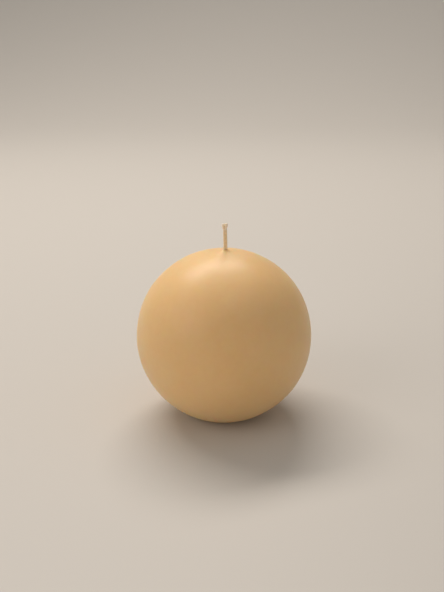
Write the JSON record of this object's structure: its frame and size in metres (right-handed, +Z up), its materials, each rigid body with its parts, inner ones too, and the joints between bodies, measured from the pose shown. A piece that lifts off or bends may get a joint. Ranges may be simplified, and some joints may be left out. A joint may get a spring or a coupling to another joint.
{
  "type": "ball candle",
  "caption": "Ball candle of ivory wax on a small flat foot, with a short plaited and waxed wick at the top and a steel wick sustainer in the foot.",
  "frame": {"origin": "centre of the flat foot, on the surface that the candle stands on", "axes": "+Z up along the wick; -Y to the front, so the wide side of the plaited wick faces -Y; +X to the right"},
  "size_m": [0.1016, 0.1016, 0.1149],
  "materials": {
    "ivory_wax": "smooth satin wax, slightly translucent",
    "core_wax": "matt pressed wax granules",
    "priming_wax": "hard clear wax over cotton",
    "cotton": "waxed cotton yarn",
    "tinned_steel": "bright tinned sheet, stamped"
  },
  "bodies": {
    "root": {"overdip_shell": "ivory_wax", "wax_core": "core_wax", "wick_coat": "priming_wax", "wick_bundle_1": "cotton", "wick_bundle_2": "cotton", "wick_bundle_3": "cotton", "wick_sustainer": "tinned_steel"}
  },
  "joints": []
}
